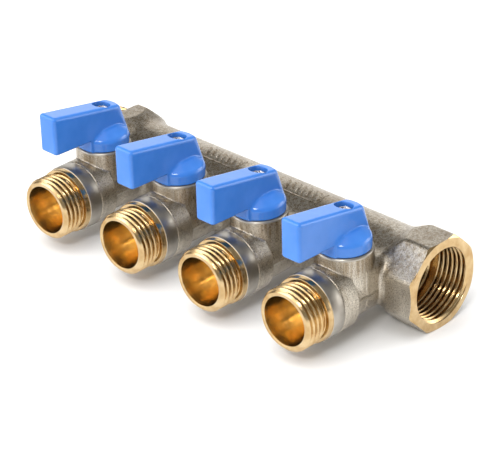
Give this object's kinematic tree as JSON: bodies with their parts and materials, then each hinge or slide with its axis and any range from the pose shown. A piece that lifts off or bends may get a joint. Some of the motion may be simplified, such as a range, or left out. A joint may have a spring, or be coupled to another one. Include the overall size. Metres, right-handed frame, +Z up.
{
  "type": "underfloor heating manifold",
  "caption": "Forged heating manifold bar with threaded ends, side outlets with built-in mini ball valves and blue quarter-turn paddle handles.",
  "frame": {"origin": "centre of the female inlet port's face, on the bar's axis", "axes": "+X out of the inlet along the bar, -Y out of the outlets, +Z up along the valve stems"},
  "size_m": [0.153, 0.064, 0.0485],
  "materials": {
    "body_nickel": "nickel-plated forged brass, sandblasted satin",
    "adapter_brass": "turned raw brass thread, nickel-plated collar",
    "handle_blue": "moulded nylon, glossy",
    "screw_steel": "bright zinc-plated steel",
    "ball_chrome": "polished chrome-plated brass",
    "stem_brass": "turned brass",
    "seat_ptfe": "PTFE, matt",
    "seal_rubber": "EPDM, matt"
  },
  "bodies": {
    "manifold": {"manifold_body": "body_nickel", "outlet_adapter_1": "adapter_brass", "adapter_seal_1": "seal_rubber", "seat_inner_1": "seat_ptfe", "seat_outer_1": "seat_ptfe", "thrust_washer_1": "seat_ptfe", "outlet_adapter_2": "adapter_brass", "adapter_seal_2": "seal_rubber", "seat_inner_2": "seat_ptfe", "seat_outer_2": "seat_ptfe", "thrust_washer_2": "seat_ptfe", "outlet_adapter_3": "adapter_brass", "adapter_seal_3": "seal_rubber", "seat_inner_3": "seat_ptfe", "seat_outer_3": "seat_ptfe", "thrust_washer_3": "seat_ptfe", "outlet_adapter_4": "adapter_brass", "adapter_seal_4": "seal_rubber", "seat_inner_4": "seat_ptfe", "seat_outer_4": "seat_ptfe", "thrust_washer_4": "seat_ptfe"},
    "valve_1": {"ball_1": "ball_chrome", "stem_1": "stem_brass", "stem_o_rings_1": "seal_rubber", "handle_1": "handle_blue", "handle_screw_1": "screw_steel"},
    "valve_2": {"ball_2": "ball_chrome", "stem_2": "stem_brass", "stem_o_rings_2": "seal_rubber", "handle_2": "handle_blue", "handle_screw_2": "screw_steel"},
    "valve_3": {"ball_3": "ball_chrome", "stem_3": "stem_brass", "stem_o_rings_3": "seal_rubber", "handle_3": "handle_blue", "handle_screw_3": "screw_steel"},
    "valve_4": {"ball_4": "ball_chrome", "stem_4": "stem_brass", "stem_o_rings_4": "seal_rubber", "handle_4": "handle_blue", "handle_screw_4": "screw_steel"}
  },
  "joints": [
    {"name": "handle_turn_1", "type": "hinge", "parent": "manifold", "child": "valve_1", "pos_m": [-0.0218, -0.0213, 0], "axis": [0, 0, -1], "range_deg": [0, 90]},
    {"name": "handle_turn_2", "type": "hinge", "parent": "manifold", "child": "valve_2", "pos_m": [-0.0578, -0.0213, 0], "axis": [0, 0, -1], "range_deg": [0, 90]},
    {"name": "handle_turn_3", "type": "hinge", "parent": "manifold", "child": "valve_3", "pos_m": [-0.0938, -0.0213, 0], "axis": [0, 0, -1], "range_deg": [0, 90]},
    {"name": "handle_turn_4", "type": "hinge", "parent": "manifold", "child": "valve_4", "pos_m": [-0.1298, -0.0213, 0], "axis": [0, 0, -1], "range_deg": [0, 90]}
  ]
}
